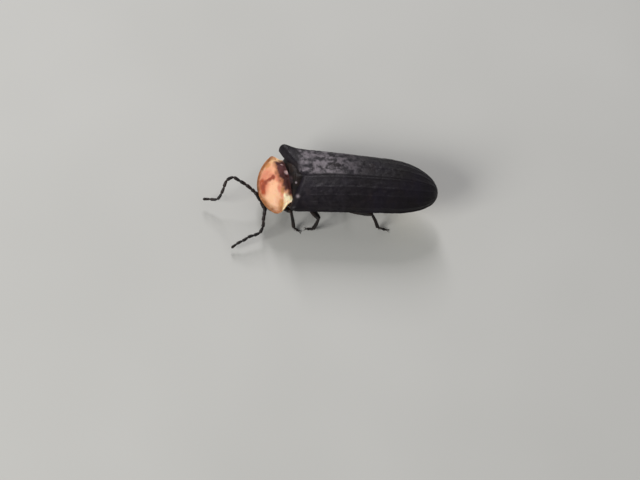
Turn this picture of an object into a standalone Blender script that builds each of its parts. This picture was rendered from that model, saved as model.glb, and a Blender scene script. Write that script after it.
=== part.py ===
# A firefly at its real size, standing on six feet with its forebody bent to its own left.
# The head points to -X, the insect's left side is -Y, and its feet rest on the plane z = 0.
# All dimensions below are in millimetres; the finished meshes are in metres.

import math

import bmesh
import bpy
from mathutils import Matrix
from mathutils import Vector

MM = 0.001

# The gap kept between two pieces that meet.
GAP = 0.25

# The middle of the whole insect's outline, in the body's own millimetres.
MIDDLE_X = -1.99
MIDDLE_Y = -0.53

# Wing cases: where they start and end, their half width and their dome.
CASE_BASE_X = -4.2
CASE_ROUND_X = 3.2
CASE_TIP_X = 8.0
CASE_STRAIGHT_SHARE = 0.62
CASE_ROUND_TURN = 86.0
CASE_REACH_LEFT = 0.45
CASE_REACH_RIGHT = 1.35
CASE_REACH_PEAK = 0.78
CASE_SHOULDER_LEFT = 3.0
CASE_SHOULDER_RIGHT = 3.28
CASE_REAR_LEFT = 2.64
CASE_REAR_RIGHT = 2.72
CASE_EDGE_Z = 3.1
CASE_DOME = 1.22
CASE_BASE_DOME = 0.88
CASE_RIDGE = 0.17
CASE_RIDGE_SHARE = 0.5
CASE_TIP_DROOP = 0.3
CASE_WALL = 0.5
CASE_THINNEST = 0.02
CASE_RIBS = (0.2, 0.4, 0.6, 0.8)
CASE_RIB_HEIGHT = 0.06
CASE_RIB_WIDTH = 0.025
CASE_KNOB_LEFT = 0.12
CASE_KNOB_RIGHT = 0.3
CASE_KNOB_PLACE = (0.05, 0.74)
CASE_KNOB_SPREAD = (0.065, 0.2)
CASE_NOTCH = 0.55
CASE_NOTCH_SHARE = 0.16
CASE_SQUARENESS = 2.5

# Forebody: the pronotum's hind middle, its turn to the left and its nod downwards.
FORE_X = -5.07
FORE_Y = -0.08
FORE_Z = 3.1
FORE_TURN = 9.0
FORE_NOD = 28.0
SHIELD_LENGTH = 2.66
SHIELD_HALF = 3.08
SHIELD_LEFT_HALF = 3.3
SHIELD_DOME = 0.84
SHIELD_WALL = 0.32
SHIELD_RIM_WALL = 0.2
SHIELD_RIM_START = 0.6
SHIELD_BACK_SHARE = 0.69
SHIELD_LEFT_BACK = 0.65
SHIELD_WIDEN_END = 0.36
SHIELD_LEFT_WIDEN_END = 0.7
SHIELD_HORN = 0.04
SHIELD_LOBE = 0.34
SHIELD_FURROW = 0.07
SHIELD_BACK_DIP = 0.12
SHIELD_SQUARENESS = 1.92

# Small triangular plate in the notch between the wing cases.
SCUTELLUM_LENGTH = 0.62
SCUTELLUM_WIDTH = 0.8
SCUTELLUM_WALL = 0.4
SCUTELLUM_FRONT = 0.2

# Prothorax under the shield: a short upright drum, turned with the shield.
COLLAR_BACK = 0.15
COLLAR_FRONT = 0.48
COLLAR_HALF = 1.3
COLLAR_TOP = -0.3
COLLAR_BOTTOM = -1.45

# Head: its place under the shield's front, its turn and nod, and its size.
HEAD_X = -6.42
HEAD_Y = -0.8
HEAD_Z = 1.46
HEAD_TURN = 24.0
HEAD_NOD = 45.0
HEAD_LENGTH = 1.5
HEAD_HALF = 0.6
HEAD_HALF_HEIGHT = 0.54
EYE_RADIUS = 0.53
EYE_SIDE = 0.78
EYE_BACK = 0.2
EYE_CUT = 0.72
SOCKET_RADIUS = 0.22
SOCKET_ROOT = (-0.3, 0.25, 0.2)
SOCKET_RIGHT = (-7.18, -0.83, 1.34)
SOCKET_LEFT = (-6.84, -1.36, 1.34)

# Trunk: middle and hind thorax, then the abdomen's lengths.
TRUNK_FRONT_X = -4.8
TRUNK_BACK_X = 0.7
TRUNK_HALF = 2.05
TRUNK_TOP = 3.75
TRUNK_BOTTOM = 1.65
ABDOMEN_LANTERN_X = 4.6
ABDOMEN_TIP_X = 6.6
ABDOMEN_END_X = 7.5
ABDOMEN_HALF = 2.0
ABDOMEN_TOP = 3.8
ABDOMEN_BOTTOM = 1.8

# Feelers: eleven joints, thickest near the head.
FEELER_JOINTS = 11
FEELER_RADIUS = 0.25
FEELER_TIP_RADIUS = 0.17
FEELER_STEPS = 4
FEELER_RIGHT = (
    (-7.5, -0.84, 1.42),
    (-7.68, -0.68, 1.78),
    (-8.0, -0.51, 2.18),
    (-8.53, -0.31, 2.6),
    (-9.15, -0.1, 2.85),
    (-9.63, 0.1, 2.95),
    (-10.07, -0.05, 2.8),
    (-10.26, -0.28, 2.55),
    (-10.4, -0.66, 2.0),
    (-10.64, -1.0, 1.4),
    (-10.92, -1.03, 1.15),
    (-11.39, -0.89, 0.95),
    (-11.9, -0.86, 0.85),
)
FEELER_LEFT = (
    (-6.86, -1.72, 1.36),
    (-6.8, -2.05, 1.45),
    (-6.89, -2.5, 1.62),
    (-7.0, -3.12, 1.72),
    (-7.02, -3.64, 1.6),
    (-7.21, -4.04, 1.25),
    (-7.63, -4.29, 1.1),
    (-8.14, -4.48, 1.02),
    (-8.57, -4.73, 0.85),
    (-8.98, -4.93, 0.7),
    (-9.5, -5.2, 0.5),
)

# Legs.
THIGH_RADIUS = 0.36
SHIN_RADIUS = 0.26
FOOT_RADIUS = 0.25
CLAW_RADIUS = 0.09
CLAW_LENGTH = 0.34
FOOT_JOINTS = 5

# Each leg: hip, knee, ankle and toe, in the body's millimetres.
LEGS = {
    "leg_front_left": (
        (-5.1, -1.4, 1.2),
        (-4.71, -2.5, 2.2),
        (-4.16, -2.78, 0.34),
        (-3.8, -3.02, 0.2),
    ),
    "leg_middle_left": (
        (-2.9, -1.2, 1.2),
        (-2.23, -2.7, 1.75),
        (-2.4, -2.72, 0.34),
        (-2.92, -2.66, 0.2),
    ),
    "leg_hind_left": (
        (0.1, -1.2, 1.2),
        (2.49, -1.85, 1.6),
        (3.2, -2.2, 0.34),
        (3.95, -2.32, 0.2),
    ),
    "leg_front_right": (
        (-5.6, 1.05, 1.3),
        (-5.4, 2.35, 1.85),
        (-5.5, 2.85, 0.34),
        (-6.1, 3.0, 0.2),
    ),
    "leg_middle_right": (
        (-2.7, 1.2, 1.2),
        (-2.1, 2.75, 1.75),
        (-1.9, 3.2, 0.34),
        (-1.5, 3.9, 0.2),
    ),
    "leg_hind_right": (
        (0.1, 1.2, 1.2),
        (2.0, 2.45, 1.65),
        (2.6, 2.9, 0.34),
        (3.3, 3.4, 0.2),
    ),
}

COLLECTION_NAME = "firefly"


def clear_scene():
    for item in list(bpy.data.objects):
        bpy.data.objects.remove(item, do_unlink=True)


def parts_collection():
    found = bpy.data.collections.get(COLLECTION_NAME)
    if found:
        return found
    made = bpy.data.collections.new(COLLECTION_NAME)
    bpy.context.scene.collection.children.link(made)
    return made


def paint(name, colour, roughness):
    material = bpy.data.materials.new(name)
    material.use_nodes = True
    shader = material.node_tree.nodes["Principled BSDF"]
    shader.inputs["Base Color"].default_value = (*colour, 1.0)
    shader.inputs["Roughness"].default_value = roughness
    shader.inputs["Metallic"].default_value = 0.0
    return material


def clamp(value, low=0.0, high=1.0):
    return max(low, min(high, value))


def blend(start, end, share):
    return start + (end - start) * share


def rise(value, start, end):
    share = clamp((value - start) / (end - start))
    return share * share * (3.0 - 2.0 * share)


def bump(value, centre, width):
    return math.exp(-(((value - centre) / width) ** 2))


def turned(angle, exponent):
    """Cosine and sine of a section that is squarer than an ellipse."""
    c = math.cos(angle)
    s = math.sin(angle)
    return (
        math.copysign(abs(c) ** (2.0 / exponent), c),
        math.copysign(abs(s) ** (2.0 / exponent), s),
    )


def world(point):
    """A point in the body's millimetres as a place in metres about the outline's middle."""
    return Vector(((point[0] - MIDDLE_X) * MM, (point[1] - MIDDLE_Y) * MM, point[2] * MM))


def face_outwards(data):
    bmesh.ops.recalc_face_normals(data, faces=data.faces)
    if data.calc_volume(signed=True) < 0.0:
        bmesh.ops.reverse_faces(data, faces=data.faces)


def place_mesh(name, mesh_data, material):
    """Puts a mesh made in the body's millimetres in its collection, in metres."""
    for vertex in mesh_data.verts:
        vertex.co = world(vertex.co)
    face_outwards(mesh_data)
    bmesh.ops.triangulate(mesh_data, faces=[f for f in mesh_data.faces if len(f.verts) > 4])
    mesh = bpy.data.meshes.new(name)
    mesh_data.to_mesh(mesh)
    mesh_data.free()
    mesh.shade_smooth()
    mesh.set_sharp_from_angle(angle=math.radians(50.0))
    mesh.materials.append(material)
    item = bpy.data.objects.new(name, mesh)
    parts_collection().objects.link(item)
    return item


def slab(across, along, shape):
    """A closed sheet: shape(s, t, depth) gives the place of each corner of its grid."""
    data = bmesh.new()
    bmesh.ops.create_grid(data, x_segments=along, y_segments=across, size=0.5)
    bmesh.ops.triangulate(data, faces=data.faces)
    grown = bmesh.ops.extrude_face_region(data, geom=list(data.faces))
    for item in grown["geom"]:
        if isinstance(item, bmesh.types.BMVert):
            item.co.z = -1.0
    for vertex in data.verts:
        s = vertex.co.x + 0.5
        t = vertex.co.y + 0.5
        vertex.co = Vector(shape(s, t, -vertex.co.z))
    return data


def barrel(sides, rings, shape):
    """A closed tube: shape(s, angle) gives the place of each corner of its rings."""
    data = bmesh.new()
    bmesh.ops.create_cone(
        data, cap_ends=True, segments=sides, radius1=1.0, radius2=1.0, depth=1.0
    )
    uprights = [e for e in data.edges if abs(e.verts[0].co.z - e.verts[1].co.z) > 0.5]
    bmesh.ops.subdivide_edges(data, edges=uprights, cuts=rings - 1)
    for vertex in data.verts:
        angle = math.atan2(vertex.co.y, vertex.co.x)
        vertex.co = Vector(shape(vertex.co.z + 0.5, angle))
    return data


def smooth_route(points, count):
    """Places along a smooth curve through a few points (Catmull-Rom)."""
    knots = [Vector(p) for p in points]
    knots = [knots[0] * 2 - knots[1]] + knots + [knots[-1] * 2 - knots[-2]]
    spans = len(points) - 1
    route = []
    for step in range(count + 1):
        travel = step / count * spans
        i = min(int(travel), spans - 1)
        u = travel - i
        a, b, c, d = knots[i : i + 4]
        route.append(
            0.5
            * (
                2 * b
                + (c - a) * u
                + (2 * a - 5 * b + 4 * c - d) * u * u
                + (3 * b - a - 3 * c + d) * u ** 3
            )
        )
    return route


def even_route(points, count):
    """The same curve with its points at even distances."""
    fine = smooth_route(points, count * 8)
    reach = [0.0]
    for before, after in zip(fine, fine[1:]):
        reach.append(reach[-1] + (after - before).length)
    route = []
    i = 0
    for step in range(count + 1):
        wanted = reach[-1] * step / count
        while i < len(reach) - 2 and reach[i + 1] < wanted:
            i += 1
        share = (wanted - reach[i]) / (reach[i + 1] - reach[i])
        route.append(fine[i].lerp(fine[i + 1], clamp(share)))
    return route


def tube(name, route, radii, material, resolution=2):
    """A round stem along a route, as a closed mesh object."""
    curve = bpy.data.curves.new(name + "_stem", "CURVE")
    curve.dimensions = "3D"
    curve.bevel_depth = MM
    curve.bevel_resolution = resolution
    curve.use_fill_caps = True
    spline = curve.splines.new("POLY")
    spline.points.add(len(route) - 1)
    for point, place, radius in zip(spline.points, route, radii):
        point.co = (*world(place), 1.0)
        point.radius = radius
    stem = bpy.data.objects.new(name + "_stem", curve)
    parts_collection().objects.link(stem)
    graph = bpy.context.evaluated_depsgraph_get()
    mesh = bpy.data.meshes.new_from_object(stem.evaluated_get(graph))
    data = bmesh.new()
    data.from_mesh(mesh)
    bmesh.ops.remove_doubles(data, verts=data.verts, dist=0.000001)
    face_outwards(data)
    data.to_mesh(mesh)
    data.free()
    mesh.name = name
    mesh.shade_smooth()
    mesh.materials.clear()
    mesh.materials.append(material)
    item = bpy.data.objects.new(name, mesh)
    parts_collection().objects.link(item)
    bpy.data.objects.remove(stem, do_unlink=True)
    return item


def spike(name, start, end, start_radius, end_radius, material, sides=8):
    """A tapered round piece between two places."""
    axis = Vector(end) - Vector(start)
    middle = (Vector(start) + Vector(end)) / 2
    spin = axis.to_track_quat("Z", "Y").to_matrix().to_4x4()
    data = bmesh.new()
    bmesh.ops.create_cone(
        data,
        cap_ends=True,
        segments=sides,
        radius1=start_radius,
        radius2=end_radius,
        depth=axis.length,
        matrix=Matrix.Translation(middle) @ spin,
    )
    return place_mesh(name, data, material)


def ball(name, frame, radii, material, sides=12, rings=8):
    data = bmesh.new()
    bmesh.ops.create_uvsphere(
        data,
        u_segments=sides,
        v_segments=rings,
        radius=1.0,
        matrix=frame @ Matrix.Diagonal((*radii, 1.0)),
    )
    return place_mesh(name, data, material)


def keep_largest(data):
    """Leaves only the largest closed surface of a mesh."""
    left = set(data.verts)
    groups = []
    while left:
        queue = [left.pop()]
        group = list(queue)
        while queue:
            vertex = queue.pop()
            for edge in vertex.link_edges:
                other = edge.other_vert(vertex)
                if other in left:
                    left.remove(other)
                    queue.append(other)
                    group.append(other)
        groups.append(group)
    groups.sort(key=len)
    for group in groups[:-1]:
        bmesh.ops.delete(data, geom=group, context="VERTS")


def join(body, others):
    """One closed body from overlapping pieces."""
    tray = bpy.data.collections.new(body.name + "_pieces")
    bpy.context.scene.collection.children.link(tray)
    for piece in others:
        tray.objects.link(piece)
        parts_collection().objects.unlink(piece)
    union = body.modifiers.new("union", "BOOLEAN")
    union.operation = "UNION"
    union.operand_type = "COLLECTION"
    union.collection = tray
    union.solver = "EXACT"
    graph = bpy.context.evaluated_depsgraph_get()
    mesh = bpy.data.meshes.new_from_object(body.evaluated_get(graph))
    body.modifiers.clear()
    data = bmesh.new()
    data.from_mesh(mesh)
    keep_largest(data)
    data.to_mesh(mesh)
    data.free()
    mesh.name = body.name
    body.data = mesh
    for piece in list(tray.objects):
        bpy.data.objects.remove(piece, do_unlink=True)
    bpy.data.collections.remove(tray)
    return body


def cut_below(item, height):
    """Cuts a piece flat at a height and closes the cut."""
    data = bmesh.new()
    data.from_mesh(item.data)
    everything = list(data.verts) + list(data.edges) + list(data.faces)
    cut = bmesh.ops.bisect_plane(
        data,
        geom=everything,
        dist=0.000001,
        plane_co=(0.0, 0.0, height * MM),
        plane_no=(0.0, 0.0, -1.0),
        clear_outer=True,
    )
    rim = [e for e in cut["geom_cut"] if isinstance(e, bmesh.types.BMEdge)]
    bmesh.ops.edgeloop_fill(data, edges=rim)
    flats = [f for f in data.faces if len(f.verts) > 4]
    bmesh.ops.triangulate(data, faces=flats)
    face_outwards(data)
    data.to_mesh(item.data)
    data.free()
    return item


# Frames: the forebody and the head, each with its own turn and nod.
def frame_at(x, y, z, turn, nod):
    return (
        Matrix.Translation((x, y, z))
        @ Matrix.Rotation(math.radians(turn), 4, "Z")
        @ Matrix.Rotation(math.radians(-nod), 4, "Y")
    )


def head_frame():
    return frame_at(HEAD_X, HEAD_Y, HEAD_Z, HEAD_TURN, HEAD_NOD)


# Wing cases
def case_point(side, s, t, depth):
    bend = t * math.pi / 2
    reach = math.sin(clamp(t / CASE_REACH_PEAK) * math.pi / 2) ** 1.2 - 0.35 * rise(t, 0.8, 1.0)
    base_x = CASE_BASE_X - (CASE_REACH_RIGHT if side > 0 else CASE_REACH_LEFT) * reach
    base_x += CASE_NOTCH * clamp(1.0 - t / CASE_NOTCH_SHARE)
    shoulder = CASE_SHOULDER_RIGHT if side > 0 else CASE_SHOULDER_LEFT
    rear = CASE_REAR_RIGHT if side > 0 else CASE_REAR_LEFT
    if s < CASE_STRAIGHT_SHARE:
        share = s / CASE_STRAIGHT_SHARE
        x = blend(base_x, CASE_ROUND_X, share)
        half = blend(shoulder, rear, share)
        half -= 0.3 * bump(share, 0.0, 0.07)
        dome = blend(CASE_BASE_DOME, CASE_DOME, rise(share, -0.25, 0.6))
        droop = 0.0
        fade = rise(share, 0.03, 0.15)
    else:
        angle = (s - CASE_STRAIGHT_SHARE) / (1.0 - CASE_STRAIGHT_SHARE)
        angle *= math.radians(CASE_ROUND_TURN)
        x = CASE_ROUND_X + (CASE_TIP_X - CASE_ROUND_X) * math.sin(angle)
        half = rear * math.cos(angle)
        dome = CASE_DOME * math.cos(angle) ** 0.8
        droop = CASE_TIP_DROOP * math.sin(angle) ** 2
        fade = rise(math.cos(angle), 0.25, 0.6)
    swell = 0.0
    for rib in CASE_RIBS:
        swell += CASE_RIB_HEIGHT * bump(t, rib, CASE_RIB_WIDTH) * fade
    knob = bump(s, CASE_KNOB_PLACE[0], CASE_KNOB_SPREAD[0])
    knob *= bump(t, CASE_KNOB_PLACE[1], CASE_KNOB_SPREAD[1])
    swell += knob * (CASE_KNOB_RIGHT if side > 0 else CASE_KNOB_LEFT)
    wall = min(CASE_WALL, half * 0.55, dome * 0.55) * depth
    up, out = turned(bend, CASE_SQUARENESS)
    grow = swell * (1.0 - depth) - wall
    y = GAP / 2 + max(half - GAP / 2 + grow, CASE_THINNEST) * out
    z = CASE_EDGE_Z - droop + max(dome + grow, CASE_THINNEST) * up
    z += CASE_RIDGE * clamp(1.0 - t / CASE_RIDGE_SHARE) * dome / CASE_DOME
    return (x, side * y, z)


def wing_case(name, side, material):
    def shape(s, t, depth):
        return case_point(side, s, t, depth)

    return place_mesh(name, slab(20, 26, shape), material)


# Shield over the forebody
def shield_point(s, t, depth):
    a = t * 2.0 - 1.0
    across = a * math.sqrt(1.0 - s * s / 2.0)
    forward = s * math.sqrt(1.0 - a * a / 2.0)
    reach = math.hypot(across, forward)
    squared = 1.0
    if reach > 0.0001:
        power = SHIELD_SQUARENESS
        squared = (abs(across / reach) ** power + abs(forward / reach) ** power) ** (1 / power)
    left = rise(-across, 0.0, 0.6)
    back = blend(SHIELD_BACK_SHARE, SHIELD_LEFT_BACK, left)
    widen_end = blend(SHIELD_WIDEN_END, SHIELD_LEFT_WIDEN_END, left)
    side = blend(SHIELD_HALF, SHIELD_LEFT_HALF, left) * across / squared
    side *= blend(back, 1.0, rise(forward, 0.0, widen_end))
    ahead = SHIELD_LENGTH * forward / squared
    ahead -= SHIELD_HORN * abs(across) ** 5 * (1.0 - s) ** 2
    ahead -= SHIELD_LOBE * (1.0 - across * across) * (1.0 - s) ** 2
    height = SHIELD_DOME * (1.0 - clamp(reach) ** 2.3) ** 0.9
    height -= SHIELD_FURROW * bump(across, 0.0, 0.09) * (1.0 - rise(reach, 0.5, 0.9))
    height -= SHIELD_BACK_DIP * bump(s, 0.0, 0.1) * (1.0 - abs(across))
    wall = blend(SHIELD_WALL, SHIELD_RIM_WALL, rise(reach, SHIELD_RIM_START, 0.95))
    frame = frame_at(FORE_X, FORE_Y, FORE_Z, FORE_TURN, FORE_NOD)
    return frame @ Vector((-ahead, side, height - wall * depth))


def shield(material):
    return place_mesh("pronotum", slab(20, 14, shield_point), material)


# Prothorax below the shield
def collar_point(s, angle):
    out, up = turned(angle, 2.4)
    forward = blend(COLLAR_BACK, COLLAR_FRONT, s)
    swell = 0.72 + 0.28 * math.sin(math.pi * blend(0.2, 0.8, s))
    height = (COLLAR_TOP + COLLAR_BOTTOM) / 2 + (COLLAR_TOP - COLLAR_BOTTOM) / 2 * up * swell
    frame = frame_at(FORE_X, FORE_Y, FORE_Z, FORE_TURN, 0.0)
    return frame @ Vector((-forward, COLLAR_HALF * out * swell, height))


def collar(material):
    return place_mesh("prothorax", barrel(16, 5, collar_point), material)


# Head
def skull_point(s, angle):
    out, up = turned(angle, 2.3)
    forward = blend(-HEAD_LENGTH / 2, HEAD_LENGTH / 2, s)
    swell = math.sin(math.pi * blend(0.16, 0.86, s)) ** 0.55
    return head_frame() @ Vector((-forward, HEAD_HALF * out * swell, HEAD_HALF_HEIGHT * up * swell))


def head(material):
    frame = head_frame()
    skull = place_mesh("head", barrel(16, 9, skull_point), material)
    face = frame @ Matrix.Translation((-HEAD_LENGTH * 0.46, 0.0, -0.2))
    pieces = [ball("lip", face, (0.24, 0.4, 0.24), material)]
    for side in (-1, 1):
        jaw_start = frame @ Vector((-HEAD_LENGTH * 0.42, side * 0.26, -0.3))
        jaw_end = frame @ Vector((-HEAD_LENGTH * 0.68, side * 0.06, -0.42))
        pieces.append(spike("jaw", jaw_start, jaw_end, 0.17, 0.06, material))
        palp = [
            frame @ Vector((-HEAD_LENGTH * 0.2, side * 0.28, -0.36)),
            frame @ Vector((-HEAD_LENGTH * 0.4, side * 0.36, -0.56)),
            frame @ Vector((-HEAD_LENGTH * 0.62, side * 0.36, -0.56)),
        ]
        radii = [0.12, 0.13, 0.14, 0.15, 0.17, 0.18, 0.1]
        pieces.append(tube("palp", smooth_route(palp, 6), radii, material))
        ahead, beside, lift = SOCKET_ROOT
        root = frame @ Vector((ahead, side * beside, lift))
        end = SOCKET_RIGHT if side > 0 else SOCKET_LEFT
        pieces.append(spike("socket", root, end, SOCKET_RADIUS, SOCKET_RADIUS, material))
    return join(skull, pieces)


def eye(name, side, material):
    """A ball whose inner side is cut flat where it meets the head."""
    data = bmesh.new()
    bmesh.ops.create_icosphere(data, subdivisions=3, radius=1.0)
    for vertex in data.verts:
        vertex.co *= EYE_RADIUS
        vertex.co.z *= 1.05
        vertex.co += Vector((EYE_BACK, side * EYE_SIDE, 0.0))
    everything = list(data.verts) + list(data.edges) + list(data.faces)
    cut = bmesh.ops.bisect_plane(
        data,
        geom=everything,
        dist=0.0001,
        plane_co=(0.0, side * EYE_CUT, 0.0),
        plane_no=(0.0, -side, 0.0),
        clear_outer=True,
    )
    rim = [e for e in cut["geom_cut"] if isinstance(e, bmesh.types.BMEdge)]
    bmesh.ops.edgeloop_fill(data, edges=rim)
    bmesh.ops.transform(data, matrix=head_frame(), verts=data.verts)
    return place_mesh(name, data, material)


# Feelers
def feeler(name, places, material):
    steps = FEELER_JOINTS * FEELER_STEPS
    radii = []
    for step in range(steps + 1):
        within = (step % FEELER_STEPS) / FEELER_STEPS
        thick = blend(FEELER_RADIUS, FEELER_TIP_RADIUS, step / steps)
        radii.append(thick * (0.86 + 0.2 * math.sin(math.pi * within * 0.9)))
    radii[-1] = FEELER_TIP_RADIUS * 0.5
    return tube(name, even_route(places, steps), radii, material)


# Small triangle between the wing cases' bases
def scutellum(material):
    def shape(s, t, depth):
        x = CASE_BASE_X - SCUTELLUM_FRONT + SCUTELLUM_LENGTH * s
        y = (t - 0.5) * SCUTELLUM_WIDTH * blend(1.0, 0.25, s ** 1.4)
        z = CASE_EDGE_Z + CASE_BASE_DOME + 0.05 * s - 0.1 * (2 * t - 1) ** 2
        return (x, y, z - SCUTELLUM_WALL * depth)

    return place_mesh("scutellum", slab(6, 4, shape), material)


# Trunk and abdomen
def trunk_section(x, angle, half, top, bottom):
    out, up = turned(angle, 2.3)
    middle = blend(bottom, top, 0.5)
    return (x, half * out, middle + (top - bottom) / 2 * up)


def trunk(material):
    def shape(s, angle):
        x = blend(TRUNK_FRONT_X, TRUNK_BACK_X, s)
        swell = 0.62 + 0.38 * rise(s, 0.05, 0.4)
        groove = 1.0 - 0.05 * bump(s, 0.45, 0.05) * (math.sin(angle) < 0.2)
        half = TRUNK_HALF * swell
        bottom = blend(TRUNK_BOTTOM + 0.4, TRUNK_BOTTOM, rise(s, 0.0, 0.25))
        top = blend(TRUNK_TOP - 0.72, TRUNK_TOP, rise(s, 0.15, 0.4))
        return trunk_section(x, angle, half * groove, top, bottom)

    return place_mesh("thorax", barrel(20, 12, shape), material)


def abdomen_shape(x, angle, segments_from, segment):
    share = (x - TRUNK_BACK_X) / (ABDOMEN_END_X - TRUNK_BACK_X)
    within = ((x - segments_from) / segment) % 1.0
    step = 0.05 * (within - 0.5)
    taper = (1.0 - clamp(share) ** 4.2) ** 0.5
    half = ABDOMEN_HALF * max(taper, 0.12) * (1.0 + step)
    height = (ABDOMEN_TOP - ABDOMEN_BOTTOM) / 2 * max(taper, 0.2) ** 0.8
    middle = (ABDOMEN_TOP + ABDOMEN_BOTTOM) / 2 - 0.15 * share
    out, up = turned(angle, 2.3)
    return (x, half * out, middle + height * up * (1.0 + step))


def abdomen_length(name, start_x, end_x, segments, rings, material):
    segment = (end_x - start_x) / segments

    def shape(s, angle):
        x = blend(start_x, end_x, s)
        return abdomen_shape(x, angle, start_x, segment * 1.0001)

    return place_mesh(name, barrel(20, rings, shape), material)


# Legs
def leg(name, places, material):
    """Hip, thigh, shin and a five-jointed foot with two claws; toe lies on the floor."""
    hip, knee, ankle, toe = (Vector(place) for place in places)
    route = [hip]
    radii = [0.34]
    socket = hip.lerp(knee, 0.16)
    route.append(socket)
    radii.append(0.3)
    for share, radius in ((0.28, 0.3), (0.5, THIGH_RADIUS), (0.78, 0.31)):
        route.append(hip.lerp(knee, share))
        radii.append(radius)
    route.append(knee.lerp(hip, 0.1))
    radii.append(SHIN_RADIUS)
    route.append(knee.lerp(ankle, 0.12))
    radii.append(SHIN_RADIUS)
    for share in (0.4, 0.7):
        route.append(knee.lerp(ankle, share))
        radii.append(SHIN_RADIUS)
    route.append(ankle.lerp(knee, 0.08))
    radii.append(SHIN_RADIUS * 1.05)
    for joint in range(FOOT_JOINTS):
        near = (joint + 0.15) / FOOT_JOINTS
        far = (joint + 0.8) / FOOT_JOINTS
        taper = blend(1.0, 0.82, joint / (FOOT_JOINTS - 1))
        route.append(ankle.lerp(toe, near))
        radii.append(FOOT_RADIUS * 0.84 * taper)
        route.append(ankle.lerp(toe, far))
        radii.append(FOOT_RADIUS * 1.02 * taper)
    body = tube(name, route, radii, material)
    ahead = (toe - ankle).normalized()
    beside = Vector((-ahead.y, ahead.x, 0.0)).normalized()
    claws = []
    for fork in (-1, 1):
        start = toe - ahead * 0.3 + beside * fork * 0.05
        end = toe + ahead * CLAW_LENGTH * 0.8 + beside * fork * 0.2
        end.z = 0.12
        claws.append(spike("claw", start, end, CLAW_RADIUS * 1.3, CLAW_RADIUS * 0.5, material, 6))
    join(body, claws)
    return cut_below(body, 0.0)


def main():
    clear_scene()
    black = paint("black_case", (0.012, 0.012, 0.016), 0.55)
    pink = paint("pink_shield", (0.72, 0.25, 0.15), 0.4)
    dark = paint("dark_body", (0.015, 0.012, 0.011), 0.45)
    eye_black = paint("eye_black", (0.006, 0.006, 0.007), 0.15)
    cream = paint("lantern_cream", (0.75, 0.7, 0.48), 0.5)
    rose = paint("rose_skin", (0.5, 0.2, 0.13), 0.5)

    wing_case("elytron_left", -1, black)
    wing_case("elytron_right", 1, black)
    shield(pink)
    collar(rose)
    head(dark)
    eye("eye_left", -1, eye_black)
    eye("eye_right", 1, eye_black)
    feeler("antenna_left", FEELER_LEFT, dark)
    feeler("antenna_right", FEELER_RIGHT, dark)
    scutellum(dark)
    trunk(dark)
    abdomen_length("abdomen", TRUNK_BACK_X + GAP, ABDOMEN_LANTERN_X, 5, 20, dark)
    abdomen_length("light_organ", ABDOMEN_LANTERN_X + GAP, ABDOMEN_TIP_X, 2, 8, cream)
    abdomen_length("abdomen_tip", ABDOMEN_TIP_X + GAP, ABDOMEN_END_X, 1, 5, rose)
    for name, places in LEGS.items():
        leg(name, places, dark)


main()
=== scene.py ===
# A firefly at its real size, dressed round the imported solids.
# The head points to -X, the insect's left side is -Y, and its feet stand on the floor at z = 0.
from math import atan2, copysign, cos, exp, hypot, pi, radians, sin, sqrt

import bmesh
import bpy
import numpy as np
from mathutils import Matrix, Vector, noise


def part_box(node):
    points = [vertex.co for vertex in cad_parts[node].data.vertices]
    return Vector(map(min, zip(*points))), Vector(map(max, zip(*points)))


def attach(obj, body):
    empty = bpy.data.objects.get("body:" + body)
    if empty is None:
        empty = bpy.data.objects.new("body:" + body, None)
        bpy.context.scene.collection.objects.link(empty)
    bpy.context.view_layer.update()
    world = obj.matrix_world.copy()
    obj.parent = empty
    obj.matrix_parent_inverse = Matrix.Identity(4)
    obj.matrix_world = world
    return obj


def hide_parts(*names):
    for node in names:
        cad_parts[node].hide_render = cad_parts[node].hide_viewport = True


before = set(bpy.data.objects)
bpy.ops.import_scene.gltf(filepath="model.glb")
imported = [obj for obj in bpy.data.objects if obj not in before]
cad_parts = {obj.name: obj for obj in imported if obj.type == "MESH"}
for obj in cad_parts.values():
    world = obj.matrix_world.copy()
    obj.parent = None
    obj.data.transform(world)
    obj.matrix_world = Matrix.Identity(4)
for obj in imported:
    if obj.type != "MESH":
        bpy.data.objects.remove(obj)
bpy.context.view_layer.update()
print("frame loaded")

mm = 0.001
upwards = Vector((0.0, 0.0, 1.0))

# The wing cases, in the body's own millimetres, as the solids have them
case = {
    "baseX": -4.2,
    "roundX": 3.2,
    "tipX": 8.0,
    "roundTurn": 89.4,
    "reach": (0.8, 1.45),   # pairs are for the left case and the right one
    "notch": 0.12,
    "notchShare": 0.16,
    "shoulder": (3.0, 3.28),
    "rear": (2.62, 2.72),
    "edgeZ": 3.1,
    "dome": 1.22,
    "baseDome": 0.82,
    "ridge": 0.17,          # the seam stands up like a roof's
    "ridgeShare": 0.5,
    "tipDroop": 0.3,
    "squareness": 2.5,
    "seam": 0.002,          # half the slit between the two cases
    "groove": 0.05,         # how deep the seam's line lies
    "wall": 0.12,
    "straightShare": 0.62,
    "foldShare": 0.94,      # where the edge folds under
    "ribs": (0.2, 0.39, 0.58, 0.77),
    "ribHeight": 0.03,
    "ribWidth": 0.026,
    "knob": (0.12, 0.3),
    "rollShare": 0.07,      # the front edge rolls down
    "rollReach": 0.5,
    "rollDrop": 0.62,
    "rollTurn": 100.0,
    "ripple": 0.022,
    # painted highlight on the front third of each case, left and right; the right case carries it fully
    "bloom": (0.05, 1.0),
    "middleZ": 2.2,         # what faces away from this height is the outside
    "along": 180,
    "across": 80,
}

# The body's zero lies on the floor, on the line where the cases meet, 8 mm ahead of their tip
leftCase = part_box("elytron_left")
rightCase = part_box("elytron_right")
roundEnd = sin(radians(case["roundTurn"]))
tipReach = (case["roundX"] + (case["tipX"] - case["roundX"]) * roundEnd) * mm
home = Vector((rightCase[1].x - tipReach, (leftCase[1].y + rightCase[0].y) / 2, 0.0))


def place(point):
    # from the body's millimetres to the frame's metres
    return home + Vector(point) * mm


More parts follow.
